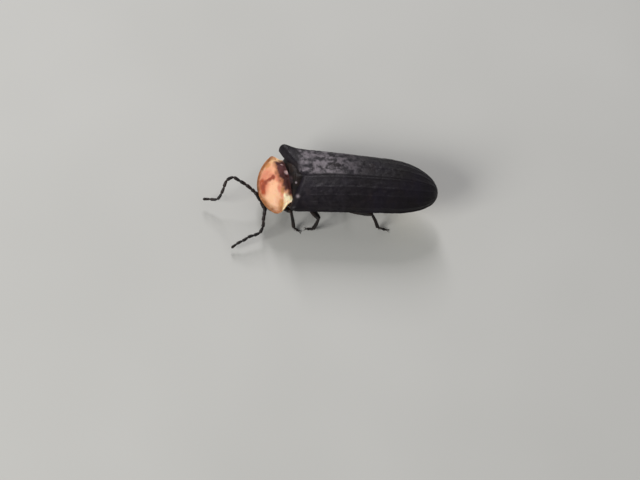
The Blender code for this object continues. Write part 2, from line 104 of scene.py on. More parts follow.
def clamp(value, low=0.0, high=1.0):
    return max(low, min(high, value))


def blend(start, end, share):
    return start + (end - start) * share


def rise(value, start, end):
    share = clamp((value - start) / (end - start))
    return share * share * (3.0 - 2.0 * share)


def bump(value, centre, width):
    return exp(-(((value - centre) / width) ** 2))


def turned(angle, power):
    # cosine and sine of a section squarer than an ellipse
    c, s = cos(angle), sin(angle)
    return (
        copysign(abs(c) ** (2.0 / power), c),
        copysign(abs(s) ** (2.0 / power), s),
    )


def ripple(point, size, seed=0.0):
    # smooth noise from -1 to 1 with waves of about size millimetres
    return noise.noise(Vector(point) / size + Vector((seed, seed * 0.37, -seed)))


# Mesh helpers
def meshFrom(name, data):
    mesh = bpy.data.meshes.new(name)
    data.to_mesh(mesh)
    data.free()
    return mesh


def addObject(name, content):
    thing = bpy.data.objects.new(name, content)
    bpy.context.scene.collection.objects.link(thing)
    return thing


def finishPiece(name, data, material, slot, *nodes, smoothAngle=50.0):
    bmesh.ops.recalc_face_normals(data, faces=data.faces)
    if data.calc_volume(signed=True) < 0:
        bmesh.ops.reverse_faces(data, faces=data.faces)
    mesh = meshFrom(name, data)
    mesh.shade_smooth()
    mesh.set_sharp_from_angle(angle=radians(smoothAngle))
    mesh.materials.append(material)
    piece = addObject(name, mesh)
    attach(piece, "root")
    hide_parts(*nodes)
    return piece


def slab(across, along, shape):
    # a closed sheet: a grid drawn out to a second layer, then laid out by shape(s, t, depth)
    data = bmesh.new()
    bmesh.ops.create_grid(data, x_segments=along, y_segments=across, size=0.5)
    grown = bmesh.ops.extrude_face_region(data, geom=list(data.faces))
    for item in grown["geom"]:
        if isinstance(item, bmesh.types.BMVert):
            item.co.z = -1.0
    data.verts.index_update()
    data.faces.index_update()

    def order(face):
        # the rim's faces come in a new order each run, so they go by their corners
        first, second = sorted(vertex.index for vertex in face.verts)[:2]
        rim = len({vertex.co.z for vertex in face.verts}) > 1
        return len(data.verts) * (first + 2) + second if rim else face.index

    data.faces.sort(key=order)
    for vertex in data.verts:
        s, t = vertex.co.x + 0.5, vertex.co.y + 0.5
        vertex.co = place(shape(s, t, -vertex.co.z))
    return data


def ringedCone(sides, rings, tip=1.0):
    # a closed cone or cylinder of unit height, cut across into rings
    data = bmesh.new()
    bmesh.ops.create_cone(data, cap_ends=True, segments=sides, radius1=1.0, radius2=tip, depth=1.0)
    uprights = [e for e in data.edges if abs(e.verts[0].co.z - e.verts[1].co.z) > 0.5]
    bmesh.ops.subdivide_edges(data, edges=uprights, cuts=rings - 1)
    return data


def barrel(data, sides, rings, shape):
    # a closed tube laid out by shape(s, angle), added to a mesh
    tube = ringedCone(sides, rings)
    for vertex in tube.verts:
        angle = atan2(vertex.co.y, vertex.co.x)
        vertex.co = place(shape(vertex.co.z + 0.5, angle))
    carrier = meshFrom("carrier", tube)
    data.from_mesh(carrier)
    bpy.data.meshes.remove(carrier)


def curved(a, b, c, d, u):
    # a share u of the way from b to c, on a smooth curve through a, b, c and d
    return 0.5 * (
        2 * b + (c - a) * u + (2 * a - 5 * b + 4 * c - d) * u * u
        + (3 * b - a - 3 * c + d) * u ** 3
    )


def smoothRoute(points, count):
    # count + 1 places at even distances on a smooth curve through a few points
    knots = [Vector(p) for p in points]
    knots = [knots[0] * 2 - knots[1]] + knots + [knots[-1] * 2 - knots[-2]]
    spans = len(points) - 1
    fine = []
    for step in range(count * 8 + 1):
        travel = step / (count * 8) * spans
        i = min(int(travel), spans - 1)
        fine.append(curved(*knots[i:i + 4], travel - i))
    reach = [0.0]
    for before, after in zip(fine, fine[1:]):
        reach.append(reach[-1] + (after - before).length)
    route, i = [], 0
    for step in range(count + 1):
        wanted = reach[-1] * step / count
        while i < len(reach) - 2 and reach[i + 1] < wanted:
            i += 1
        share = (wanted - reach[i]) / max(reach[i + 1] - reach[i], 1e-9)
        route.append(fine[i].lerp(fine[i + 1], clamp(share)))
    return route


def sweep(data, points, steps, sides, radius, flat=1.0):
    # a stem on a smooth route; radius(share) is in millimetres, flat squeezes it upwards
    route = smoothRoute(points, steps)
    last = len(route) - 1
    frames = []
    up = upwards
    for i, spot in enumerate(route):
        ahead = (route[min(i + 1, last)] - route[max(i - 1, 0)]).normalized()
        up = (up - ahead * up.dot(ahead)).normalized()
        frames.append((spot, ahead.cross(up), up))

    def shape(s, angle):
        spot, side, upward = frames[min(int(round(s * last)), last)]
        r = radius(s)
        return spot + side * (cos(angle) * r) + upward * (sin(angle) * r * flat)

    barrel(data, sides, last, shape)
    return route


def setMask(piece, name, values):
    layer = piece.data.attributes.new(name, "FLOAT", "POINT")
    layer.data.foreach_set("value", np.asarray(values, np.float32))


def paint(piece, marksAt):
    # marksAt gives every mask by name at a corner, in the body's millimetres
    corners = piece.data.vertices
    marks = [marksAt((corner.co - home) / mm, corner.normal) for corner in corners]
    for name in marks[0]:
        setMask(piece, name, [mark[name] for mark in marks])


# Node helpers
def startMaterial(name):
    material = bpy.data.materials.new(name)
    material.use_nodes = True
    tree = material.node_tree
    return material, tree, tree.nodes["Principled BSDF"]


def addNode(tree, kind, **values):
    node = tree.nodes.new(kind)
    for key, value in values.items():
        if hasattr(node, key):
            setattr(node, key, value)
        else:
            node.inputs[key.replace("_", " ")].default_value = value
    return node


def textureNode(tree, kind, output, **values):
    # a texture laid out in the piece's own metres
    spot = addNode(tree, "ShaderNodeTexCoord")
    texture = addNode(tree, kind, **values)
    tree.links.new(spot.outputs["Object"], texture.inputs["Vector"])
    return texture.outputs[output]


def noiseNode(tree, waves, detail, rough=0.55):
    # waves is the number of waves in a metre
    return textureNode(tree, "ShaderNodeTexNoise", "Fac", Scale=waves, Detail=detail, Roughness=rough)


def pitNode(tree, waves, spread=1.0):
    return textureNode(tree, "ShaderNodeTexVoronoi", "Distance", Scale=waves, Randomness=spread)


def feed(socket, value):
    # value is another socket, a colour or a number
    if isinstance(value, bpy.types.NodeSocket):
        socket.id_data.links.new(value, socket)
    else:
        socket.default_value = (*value, 1.0) if isinstance(value, tuple) else value


def rangeNode(source, low, high, toLow=0.0, toHigh=1.0):
    node = addNode(source.id_data, "ShaderNodeMapRange")
    for number, value in enumerate((source, low, high, toLow, toHigh)):
        feed(node.inputs[number], value)
    return node.outputs["Result"]


def mixColour(factor, first, second):
    node = addNode(factor.id_data, "ShaderNodeMix", data_type="RGBA")
    for number, value in ((0, factor), (6, first), (7, second)):
        feed(node.inputs[number], value)
    return node.outputs[2]


def mathNode(operation, first, second):
    node = addNode(first.id_data, "ShaderNodeMath", operation=operation)
    feed(node.inputs[0], first)
    feed(node.inputs[1], second)
    return node.outputs[0]


def maskNode(tree, name):
    return addNode(tree, "ShaderNodeAttribute", attribute_name=name).outputs["Fac"]


def addBump(shader, height, strength, distance):
    node = addNode(shader.id_data, "ShaderNodeBump", Strength=strength, Distance=distance)
    feed(node.inputs["Height"], height)
    feed(shader.inputs["Normal"], node.outputs["Normal"])


# Finishes
caseFinish = {
    "black": (0.0065, 0.0048, 0.0056),
    "blue": (0.0095, 0.007, 0.014),
    "brown": (0.014, 0.0075, 0.0065),
    "roughLow": 0.34,
    "roughHigh": 0.6,
    "pitWaves": 11000.0,
    "grainWaves": 3600.0,
    # painted highlight colour
    "bloom": (0.2, 0.178, 0.196),
    # painted glint colour for the flecks
    "fleck": (0.27, 0.23, 0.245),
}


def makeCaseFinish():
    material, tree, shader = startMaterial("caseBlack")
    cloud = rangeNode(noiseNode(tree, 420.0, 4.0), 0.35, 0.7)
    tint = mixColour(cloud, caseFinish["black"], caseFinish["blue"])
    warm = rangeNode(noiseNode(tree, 900.0, 3.0), 0.55, 0.8, 0.0, 0.6)
    colour = mixColour(warm, tint, caseFinish["brown"])
    # painted highlight in pale patches over the front third, strong on the right case only, and painted
    # glints as a few pale flecks on the front lip
    patches = rangeNode(noiseNode(tree, 1900.0, 5.0, 0.6), 0.43, 0.58, 0.02, 1.0)
    bloom = mathNode("MULTIPLY", maskNode(tree, "bloom"), patches)
    colour = mixColour(bloom, colour, caseFinish["bloom"])
    colour = mixColour(maskNode(tree, "fleck"), colour, caseFinish["fleck"])
    feed(shader.inputs["Base Color"], colour)
    pits = pitNode(tree, caseFinish["pitWaves"])
    grain = noiseNode(tree, caseFinish["grainWaves"], 5.0, 0.65)
    rough = rangeNode(grain, 0.3, 0.7, caseFinish["roughLow"], caseFinish["roughHigh"])
    feed(shader.inputs["Roughness"], rough)
    low = rangeNode(pits, 0.0, 0.55)
    addBump(shader, mathNode("ADD", low, mathNode("MULTIPLY", grain, 2.2)), 0.55, 0.000018)
    shader.inputs["Specular IOR Level"].default_value = 0.26
    return material


shieldFinish = {
    "pink": (0.84, 0.35, 0.195),
    "pale": (0.93, 0.48, 0.275),
    # painted sheen, laid in patches over the dark band
    "plum": (0.085, 0.022, 0.022),
    # the markings and painted light, in the order in which they're laid
    "marks": {
        "peach": (0.99, 0.555, 0.335),
        "beige": (0.86, 0.50, 0.25),
        "salmon": (0.74, 0.27, 0.16),
        # painted shade in the shield's creases
        "creaseShade": (0.64, 0.28, 0.095),
        "rim": (0.30, 0.12, 0.038),
        "red": (0.44, 0.085, 0.03),
        # partly the pale hind corners' own colour, partly painted light where those corners catch the
        # light
        "cream": (1.0, 0.82, 0.52),
        "streak": (0.32, 0.068, 0.034),
        "fringe": (0.24, 0.085, 0.03),
        "band": (0.04, 0.004, 0.002),
        # painted highlights: two pinkish-grey glints on the hind edge
        "spot": (0.50, 0.34, 0.33),
    },
}


def makeShieldFinish():
    material, tree, shader = startMaterial("shieldPink")
    look = shieldFinish
    cloud = rangeNode(noiseNode(tree, 1100.0, 4.0), 0.32, 0.68)
    colour = mixColour(cloud, look["pink"], look["pale"])
    fleck = noiseNode(tree, 2600.0, 5.0, 0.6)
    for mask, tone in look["marks"].items():
        # the flecks break up the edge of each marking, least that of the band
        rough = 0.12 if mask == "band" else 0.35
        broken = rangeNode(fleck, 0.3, 0.7, 1.0 - rough, 1.0 + rough)
        share = mathNode("MULTIPLY", maskNode(tree, mask), broken)
        # the band takes patches of painted sheen
        if mask == "band":
            tone = mixColour(rangeNode(cloud, 0.2, 0.8), tone, look["plum"])
        colour = mixColour(rangeNode(share, 0.08, 0.9), colour, tone)
    feed(shader.inputs["Base Color"], colour)
    rough = rangeNode(fleck, 0.3, 0.7, 0.36, 0.55)
    duller = mathNode("MULTIPLY", maskNode(tree, "band"), 0.3)
    feed(shader.inputs["Roughness"], mathNode("ADD", rough, duller))
    pits = rangeNode(pitNode(tree, 7000.0), 0.0, 0.5)
    grain = noiseNode(tree, 2400.0, 5.0, 0.6)
    addBump(shader, mathNode("ADD", pits, mathNode("MULTIPLY", grain, 1.6)), 0.45, 0.00002)
    shader.inputs["Subsurface Weight"].default_value = 0.25
    shader.inputs["Subsurface Radius"].default_value = (0.0006, 0.00025, 0.00015)
    shader.inputs["Subsurface Scale"].default_value = 1.0
    shader.inputs["Specular IOR Level"].default_value = 0.36
    return material


bodyFinish = {
    "black": (0.008, 0.007, 0.007),
    "brown": (0.024, 0.013, 0.009),
    "cream": (0.80, 0.74, 0.50),
    "creamShade": (0.62, 0.52, 0.30),
    "rose": (0.34, 0.125, 0.085),
    "membrane": (0.16, 0.075, 0.05),
    # painted sheen colour for the back between the shield and the cases
    "plum": (0.07, 0.046, 0.05),
    # painted glint colour for the flecks
    "fleck": (0.27, 0.23, 0.245),
}


def makeBodyFinish(name, masks=(), gloss=0.3):
    material, tree, shader = startMaterial(name)
    look = bodyFinish
    cloud = rangeNode(noiseNode(tree, 1500.0, 4.0), 0.4, 0.75)
    colour = mixColour(cloud, look["black"], look["brown"])
    fleck = noiseNode(tree, 3200.0, 4.0)
    for mask in masks:
        tone = look[mask]
        if mask == "cream":
            tone = mixColour(rangeNode(fleck, 0.35, 0.7), tone, look["creamShade"])
        share = mathNode("ADD", maskNode(tree, mask), mathNode("SUBTRACT", fleck, 0.5))
        colour = mixColour(rangeNode(share, 0.35, 0.7), colour, tone)
    feed(shader.inputs["Base Color"], colour)
    rough = rangeNode(fleck, 0.3, 0.7, 0.4, 0.62)
    feed(shader.inputs["Roughness"], rough)
    pits = rangeNode(pitNode(tree, 9000.0), 0.0, 0.5)
    grain = noiseNode(tree, 5000.0, 4.0)
    addBump(shader, mathNode("ADD", pits, grain), 0.4, 0.000014)
    shader.inputs["Specular IOR Level"].default_value = gloss
    return material


def makeEyeFinish():
    material, tree, shader = startMaterial("eyeBlack")
    facets = pitNode(tree, 42000.0, 0.4)
    sheen = rangeNode(noiseNode(tree, 2500.0, 2.0), 0.4, 0.7)
    colour = mixColour(sheen, (0.005, 0.005, 0.006), (0.018, 0.010, 0.008))
    feed(shader.inputs["Base Color"], colour)
    shader.inputs["Roughness"].default_value = 0.16
    shader.inputs["Coat Weight"].default_value = 0.6
    shader.inputs["Coat Roughness"].default_value = 0.08
    addBump(shader, mathNode("MULTIPLY", facets, -1.0), 0.3, 0.000006)
    return material


def makeHairFinish():
    material, tree, shader = startMaterial("hairDark")
    cloud = rangeNode(noiseNode(tree, 3000.0, 2.0), 0.3, 0.7)
    colour = mixColour(cloud, (0.012, 0.011, 0.012), (0.05, 0.045, 0.045))
    feed(shader.inputs["Base Color"], colour)
    shader.inputs["Roughness"].default_value = 0.38
    return material


caseBlack = makeCaseFinish()
shieldPink = makeShieldFinish()
bodyBlack = makeBodyFinish("bodyBlack")
skinMarked = makeBodyFinish("skinMarked", ("membrane", "cream", "rose", "plum", "fleck"), 0.14)
eyeBlack = makeEyeFinish()
hairDark = makeHairFinish()
print("finishes ready")


# Wing cases
def caseSurface(side, s, t):
    # the outer face: s runs from base to tip, t from the seam to the folded edge
    # side is -1 for the left case and 1 for the right one
    fold = case["foldShare"]
    bend = clamp(t / fold) * pi / 2
    under = clamp((t - fold) / (1.0 - fold))
    reach = sin(clamp(t / 0.78) * pi / 2) ** 1.2 - 0.35 * rise(t, 0.8, 1.0)
    base = case["baseX"] - case["reach"][side > 0] * reach
    base += case["notch"] * clamp(1.0 - t / case["notchShare"])
    drop = tuck = droop = 0.0
    rear = case["rear"][side > 0]
    rollEnd = case["rollShare"]
    straight = case["straightShare"]
    if s < straight:
        share = clamp((s - rollEnd) / (straight - rollEnd))
        x = blend(base + case["rollReach"], case["roundX"], share)
        half = blend(case["shoulder"][side > 0], rear, share)
        dome = blend(case["baseDome"], case["dome"], rise(share, -0.25, 0.6))
        if s < rollEnd:
            roll = radians(case["rollTurn"]) * (1.0 - s / rollEnd)
            x -= case["rollReach"] * sin(roll)
            drop = case["rollDrop"] * (1.0 - cos(roll))
            tuck = 0.3 * (1.0 - cos(roll))
        fade = rise(share, 0.03, 0.2)
    else:
        angle = (s - straight) / (1.0 - straight) * radians(case["roundTurn"])
        x = case["roundX"] + (case["tipX"] - case["roundX"]) * sin(angle)
        half = rear * cos(angle)
        dome = case["dome"] * cos(angle) ** 0.8
        droop = case["tipDroop"] * sin(angle) ** 2
        fade = rise(cos(angle), 0.12, 0.5)
    swell = 0.0
    for rib in case["ribs"]:
        swell += case["ribHeight"] * bump(t, rib * fold, case["ribWidth"]) * fade
    swell += case["knob"][side > 0] * bump(s, 0.05, 0.065) * bump(t, 0.74, 0.2)
    swell += 0.04 * bump(t, 0.0, 0.022) * fade
    swell -= 0.07 * bump(t, fold * 0.945, 0.022) * fade
    swell += 0.03 * bump(t, fold, 0.012) * fade
    up, out = turned(bend, case["squareness"])
    spot = (x, side * half * out, dome * up - drop)
    waves = ripple(spot, 0.42, 3.0) + 0.5 * ripple(spot, 0.18, 9.0)
    swell += case["ripple"] * waves * (0.4 + 0.6 * fade) * rise(t, 0.0, 0.06)
    y = case["seam"] + max(half - case["seam"] + swell - tuck * out, 0.015) * out
    z = case["edgeZ"] - droop + max(dome + swell, 0.015) * up
    z += case["ridge"] * clamp(1.0 - t / case["ridgeShare"]) * (dome / case["dome"])
    z -= drop * (0.35 + 0.65 * up) + case["groove"] * bump(t, 0.0, 0.006)
    y -= min(0.3, half * 0.3) * under
    z -= 0.07 * sin(pi * under)
    return Vector((x, side * y, z))


def caseNormal(side, s, t):
    step = 0.003
    ahead = caseSurface(side, clamp(s + step), t) - caseSurface(side, clamp(s - step), t)
    outward = caseSurface(side, s, clamp(t + step)) - caseSurface(side, s, clamp(t - step))
    return (ahead.cross(outward) * side).normalized()


# painted glints as pale flecks at the left case's foot, each a point and one direction through all of
# them
glintPlaces = ((-4.47, -0.53, 3.7), (-4.28, -1.6, 3.3))
glintWay = Vector((0.20, 0.57, -0.80))


def glintShare(spot):
    near = max(bump((spot - Vector(f)).cross(glintWay).length, 0.0, 0.13) for f in glintPlaces)
    return near * (spot.x < -3.9)


def makeCase(name, side, node):
    def shape(s, t, depth):
        spot = caseSurface(side, s, t)
        if depth > 0.5:
            spot = spot - caseNormal(side, s, t) * case["wall"] * rise(1.0 - s, 0.0, 0.12)
            spot.y = side * max(side * spot.y, case["seam"])
        return spot

    def marks(spot, normal):
        across = abs(spot.y)
        # where the painted highlight lies: the front third, between the seam and the side
        share = rise(spot.x, -4.35, -3.85) * (1.0 - rise(spot.x, -2.2, 2.4))
        share *= rise(across, 0.05, 0.35) * (1.0 - rise(across, 2.75, 3.15))
        outside = normal.y * spot.y + normal.z * (spot.z - case["middleZ"]) > 0.0
        return {
            "bloom": share * outside * case["bloom"][side > 0],
            # painted glints on the left case's front lip
            "fleck": glintShare(spot) * outside * (side < 0),
        }

    data = slab(case["across"], case["along"], shape)
    paint(finishPiece(name, data, caseBlack, "case", node, smoothAngle=60.0), marks)


makeCase("wingCaseLeft", -1, "elytron_left")
makeCase("wingCaseRight", 1, "elytron_right")
print("wing cases done")


# Forebody: the shield and what it carries are turned to the left and nod downwards
fore = {
    "place": (-5.07, -0.08, 3.1),
    "turn": 9.0,
    "nod": 28.0,
}


def frameOf(part):
    return (
        Matrix.Translation(part["place"])
        @ Matrix.Rotation(radians(part["turn"]), 4, "Z")
        @ Matrix.Rotation(radians(-part["nod"]), 4, "Y")
    )


foreFrame = frameOf(fore)

shield = {
    "length": 2.66,
    "half": (3.08, 3.35),   # pairs are for the right side and the left one
    "dome": 0.8,
    "wall": 0.3,
    "rimWall": 0.09,
    "rimLift": 0.05,
    "vaultShare": 0.97,
    "cornerLift": (0.1, 0.22),
    "horn": 0.04,
    "lobe": 0.34,
    "back": (0.69, 0.64),
    "widenEnd": (0.36, 0.7),
    "squareness": 1.92,
    "furrow": 0.1,
    "ripple": 0.03,
    "along": 96,
    "across": 150,
}


def shieldPlan(s, t):
    # the half disc of the shield: across runs from -1 on its left to 1, forward from 0 to 1
    a = t * 2.0 - 1.0
    return a * sqrt(1.0 - s * s / 2.0), s * sqrt(1.0 - a * a / 2.0)


def shieldSurface(s, t, depth):
    across, forward = shieldPlan(s, t)
    reach = hypot(across, forward)
    squared = 1.0
    if reach > 0.0001:
        power = shield["squareness"]
        squared = (abs(across / reach) ** power + abs(forward / reach) ** power) ** (1 / power)
    # the left side is seen flatter, with its corner further forward
    left = rise(-across, 0.0, 0.6)
    widen = rise(forward, 0.0, blend(*shield["widenEnd"], left))
    widen = blend(blend(*shield["back"], left), 1.0, widen)
    side = blend(*shield["half"], left) * across / squared * widen
    ahead = shield["length"] * forward / squared
    ahead -= shield["horn"] * abs(across) ** 5 * (1.0 - s) ** 2
    ahead -= shield["lobe"] * (1.0 - across * across) * (1.0 - s) ** 2
    # the vault ends before the side margins, which lie flat
    flank = rise(abs(across), 0.45, 0.9)
    vault = clamp(reach / blend(1.0, shield["vaultShare"], flank))
    height = shield["dome"] * (1.0 - vault ** 2.3) ** blend(0.9, 1.4, flank)
    height += shield["rimLift"] * rise(reach, 0.93, 0.98)
    # the hind corners are turned up
    lift = shield["cornerLift"][across < 0]
    height += lift * rise(abs(across), 0.55, 1.0) * (1.0 - rise(forward, 0.1, 0.42))
    height -= 0.04 * bump(reach, 0.92, 0.03)
    height -= shield["furrow"] * bump(across, 0.0, 0.07) * (1.0 - rise(reach, 0.5, 0.9))
    height -= 0.08 * bump(abs(across), 0.42, 0.2) * bump(forward, 0.3, 0.16)
    height -= 0.14 * bump(s, 0.0, 0.07) * (1.0 - 0.6 * abs(across))
    height += 0.05 * bump(s, 0.085, 0.03) * (1.0 - abs(across))
    spot = Vector((-ahead, side, height))
    waves = ripple(spot, 0.5, 5.0) + 0.6 * ripple(spot, 0.2, 2.0)
    spot.z += shield["ripple"] * waves * (1.0 - 0.7 * rise(reach, 0.9, 1.0))
    wall = blend(shield["wall"], shield["rimWall"], rise(reach, 0.35, 0.9))
    wall = min(wall, blend(shield["rimWall"], shield["wall"], rise(s, 0.0, 0.12)) + 0.02)
    spot.z -= wall * depth
    return foreFrame @ spot


# Where the markings and painted light lie: centre across, centre forward, half width across, half
# length forward
shieldMarks = {
    "peach": [(-0.28, 0.52, 0.34, 0.28), (-0.13, 0.42, 0.17, 0.12)],
    "beige": [(0.82, 0.28, 0.16, 0.16)],
    "salmon": [(0.33, 0.62, 0.22, 0.2), (0.24, 0.5, 0.12, 0.14), (0.08, 0.74, 0.30, 0.18),
               (0.12, 0.27, 0.2, 0.09), (-0.2, 0.22, 0.16, 0.06), (-0.3, 0.29, 0.16, 0.09),
               (-0.5, 0.27, 0.12, 0.06)],
    # painted shade in the creases, between the dome and the pale hind corners
    "creaseShade": [(-0.74, 0.37, 0.13, 0.10), (-0.42, 0.24, 0.13, 0.06), (0.66, 0.5, 0.12, 0.1)],
    "red": [(0.04, 0.79, 0.2, 0.11), (-0.1, 0.80, 0.14, 0.09), (0.17, 0.80, 0.14, 0.1)],
    # the pale hind corners: own colour and partly painted light, most on the right corner, which faces
    # away from the lamps
    "cream": [(-0.63, 0.20, 0.09, 0.05), (-0.74, 0.15, 0.14, 0.12), (-0.88, 0.06, 0.15, 0.13),
              (-0.9, 0.24, 0.09, 0.13), (0.9, 0.06, 0.12, 0.12)],
    "streak": [(0.15, 0.41, 0.09, 0.06), (0.14, 0.46, 0.06, 0.05), (0.13, 0.52, 0.07, 0.08),
               (0.12, 0.6, 0.06, 0.07), (0.11, 0.67, 0.08, 0.08), (0.02, 0.78, 0.12, 0.06)],
    # painted highlights on the hind edge
    "spot": [(0.22, 0.03, 0.1, 0.05), (0.67, 0.075, 0.05, 0.035)],
}
# The dark band along the hind edge: how far forward it reaches at places across
shieldBand = ((-1.0, -0.12), (-0.80, -0.04), (-0.70, 0.05), (-0.61, 0.10), (-0.5, 0.15), (-0.36, 0.18),
              (-0.07, 0.2), (0.2, 0.26), (0.41, 0.25), (0.72, 0.25), (0.88, 0.1), (1.0, 0.0))


def makeShield():
    data = slab(shield["across"], shield["along"], shieldSurface)
    # the grid's own places, kept so that the markings follow the plan
    plan = bmesh.new()
    bmesh.ops.create_grid(plan, x_segments=shield["along"], y_segments=shield["across"], size=0.5)
    flat = [shieldPlan(v.co.x + 0.5, v.co.y + 0.5) for v in plan.verts]
    plan.free()
    piece = finishPiece("shield", data, shieldPink, "shield", "pronotum", smoothAngle=55.0)
    copies = len(piece.data.vertices) // len(flat)
    for mark, patches in shieldMarks.items():
        values = []
        for across, forward in flat:
            wobble = 0.05 * noise.noise(Vector((across * 5.0, forward * 5.0, 7.0)))
            share = 0.0
            for centreA, centreF, wide, long in patches:
                away = hypot((across - centreA) / wide, (forward - centreF) / long)
                share = max(share, 1.0 - rise(away + wobble * 4.0, 0.3, 1.5))
            values.append(share)
        setMask(piece, mark, values * copies)
    band, fringe = [], []
    for across, forward in flat:
        wobble = 0.06 * noise.noise(Vector((across * 8.0, forward * 8.0, 2.0)))
        past = forward + wobble - np.interp(across, *zip(*shieldBand))
        band.append(1.0 - rise(past, -0.08, 0.03))
        fringe.append(0.8 - 0.8 * rise(past, -0.02, 0.13))
    setMask(piece, "band", band * copies)
    setMask(piece, "fringe", fringe * copies)
    rim = [rise(hypot(a, f), 0.8, 0.98) * (1.0 - bump(f, 0.0, 0.2)) * 0.9 for a, f in flat]
    setMask(piece, "rim", rim * copies)


makeShield()
print("shield done")


# Head
head = {
    "place": (-6.42, -0.80, 1.56),
    "turn": 24.0,
    "nod": 45.0,
    "length": 1.5,
    "half": 0.6,
    "halfHeight": 0.54,
    "eyeRadius": 0.55,
    "eyeSide": 0.78,
    "socketForward": 0.72,
    "socketSide": 0.27,
    "socketLift": 0.3,
}
headFrame = frameOf(head)
# face plate and lip: how far ahead and up, and half their widths, depths and heights
plates = ((0.70, -0.16, 0.40, 0.22, 0.20), (0.80, -0.34, 0.30, 0.17, 0.13))


def onHead(ahead, side, up):
    return headFrame @ Vector((-ahead, side, up))


def skullShape(s, angle):
    out, up = turned(angle, 2.3)
    ahead = blend(-head["length"] / 2, head["length"] / 2, s)
    swell = sin(pi * blend(0.13, 0.88, s)) ** 0.6
    side = head["half"] * out * swell
    height = head["halfHeight"] * up * swell
    if up > 0:
        # a hollow between the feelers' roots and a low crown behind it
        height -= 0.12 * bump(s, 0.86, 0.09) * bump(side, 0.0, 0.22)
        height += 0.05 * bump(s, 0.5, 0.2)
    spot = Vector((ahead, side, height))
    height += 0.012 * ripple(spot, 0.15, 4.0)
    return onHead(ahead, side, height)


def makeHead():
    data = bmesh.new()
    barrel(data, 56, 48, skullShape)
    for ahead, up, wide, deep, tall in plates:
        # a flattened barrel lying across the front
        def plate(s, angle, ahead=ahead, up=up, wide=wide, deep=deep, tall=tall):
            out, rising = turned(angle, 2.6)
            swell = sin(pi * blend(0.04, 0.96, s)) ** 0.5
            across = blend(-wide, wide, s)
            return onHead(ahead + deep * out * swell, across, up + tall * rising * swell)
        barrel(data, 24, 24, plate)
    for side in (-1, 1):
        def mouthPart(places, steps, sides, radius, side=side):
            # places are ahead, outwards and up
            sweep(data, [onHead(a, side * b, c) for a, b, c in places], steps, sides, radius)

        def knob(s, angle, side=side):
            # a low knob that the feeler grows from
            wide = max(0.215 * sqrt(1.0 - s ** 2.4), 0.004)
            return onHead(head["socketForward"] - 0.12 + 0.2 * s,
                          side * head["socketSide"] + wide * cos(angle),
                          head["socketLift"] + wide * sin(angle))
        barrel(data, 24, 16, knob)
        jaw = ((0.62, 0.3, -0.36), (0.92, 0.3, -0.44), (1.08, 0.13, -0.5), (1.1, -0.03, -0.5))
        mouthPart(jaw, 16, 12, lambda s: blend(0.12, 0.015, s ** 1.5))

        def palpRadius(s):
            within = (s * 4.0) % 1.0 if s < 1.0 else 1.0
            swell = 0.7 + 0.42 * sin(pi * clamp(within, 0.08, 0.92))
            thick = blend(0.062, 0.11, rise(s, 0.74, 0.8)) * swell
            return thick * (1.0 - 0.85 * rise(s, 0.93, 1.0))
        palp = ((0.36, 0.26, -0.44), (0.62, 0.36, -0.66), (0.86, 0.36, -0.7), (1.08, 0.34, -0.62))
        mouthPart(palp, 40, 16, palpRadius)

        def lowerRadius(s):
            swell = 0.75 + 0.35 * abs(sin(pi * 3 * s))
            return 0.05 * swell * (1 - 0.8 * rise(s, 0.9, 1))
        mouthPart(((0.5, 0.12, -0.5), (0.7, 0.14, -0.66), (0.9, 0.14, -0.66)), 24, 12, lowerRadius)
    finishPiece("headSkin", data, bodyBlack, "dark_body", "head")


def makeEye(name, side, node):
    data = bmesh.new()
    bmesh.ops.create_icosphere(data, subdivisions=6, radius=1.0)
    for vertex in data.verts:
        ray = vertex.co.normalized()
        r = head["eyeRadius"]
        spot = Vector((ray.x * r, ray.y * r * 0.98, ray.z * r * 1.04))
        # flatter towards the head, so that it sits in it
        if spot.y * side < -0.1:
            spot.y = -side * (0.1 + (abs(spot.y) - 0.1) * 0.7)
        vertex.co = place(onHead(-spot.x, side * head["eyeSide"] + spot.y, spot.z))
    finishPiece(name, data, eyeBlack, "eye", node, smoothAngle=80.0)


makeHead()
makeEye("eyeLeft", -1, "eye_left")
makeEye("eyeRight", 1, "eye_right")
print("head done")


# Feelers: eleven joints each, the first long and the second short
feeler = {
    "joints": (1.5, 0.6, *[1.0] * 8, 1.05),
    "radius": 0.185,
    "tipRadius": 0.125,
    "steps": 132,
    "right": (
        (-7.24, -0.88, 1.50), (-7.47, -0.71, 1.85), (-7.97, -0.51, 2.25), (-8.53, -0.31, 2.60),
        (-9.15, -0.10, 2.85), (-9.63, 0.10, 2.95), (-10.07, -0.05, 2.80), (-10.26, -0.28, 2.55),
        (-10.40, -0.66, 2.00), (-10.64, -1.00, 1.40), (-10.92, -1.03, 1.15), (-11.39, -0.89, 0.95),
        (-11.92, -0.86, 0.85),
    ),
    "left": (
        (-7.03, -1.32, 1.50), (-6.80, -1.85, 1.60), (-6.89, -2.53, 1.75), (-7.00, -3.15, 1.75),
        (-7.02, -3.64, 1.60), (-7.21, -4.04, 1.20), (-7.63, -4.29, 1.10), (-8.14, -4.48, 1.05),
        (-8.57, -4.78, 0.95), (-8.98, -4.93, 0.75), (-9.38, -5.17, 0.55), (-9.56, -5.30, 0.40),
    ),
}


def feelerPlaces(side):
    root = onHead(head["socketForward"] - 0.1, side * head["socketSide"], head["socketLift"])
    return [root, *(feeler["right"] if side > 0 else feeler["left"])]


